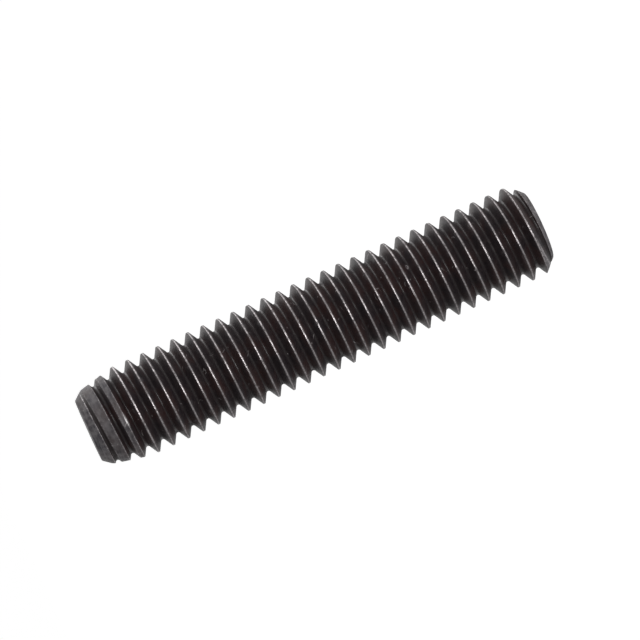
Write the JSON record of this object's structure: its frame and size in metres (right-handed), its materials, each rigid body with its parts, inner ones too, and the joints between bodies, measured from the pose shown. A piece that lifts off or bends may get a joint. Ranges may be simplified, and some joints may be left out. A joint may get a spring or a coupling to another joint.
{
  "type": "taper lock stud",
  "caption": "Headless, fully threaded steel stud with a chamfered nut end and a tapered end that locks in a tapped hole.",
  "frame": {"origin": "middle of the plain, chamfered end's face, on which the stud stands", "axes": "+Z along the thread's axis towards the tapered end"},
  "size_m": [0.0058, 0.0058, 0.03],
  "materials": {
    "black_oxide_steel": "black oxide, satin and lightly oiled, bare and grey along the thread's crests"
  },
  "bodies": {
    "root": {"stud": "black_oxide_steel"}
  },
  "joints": []
}
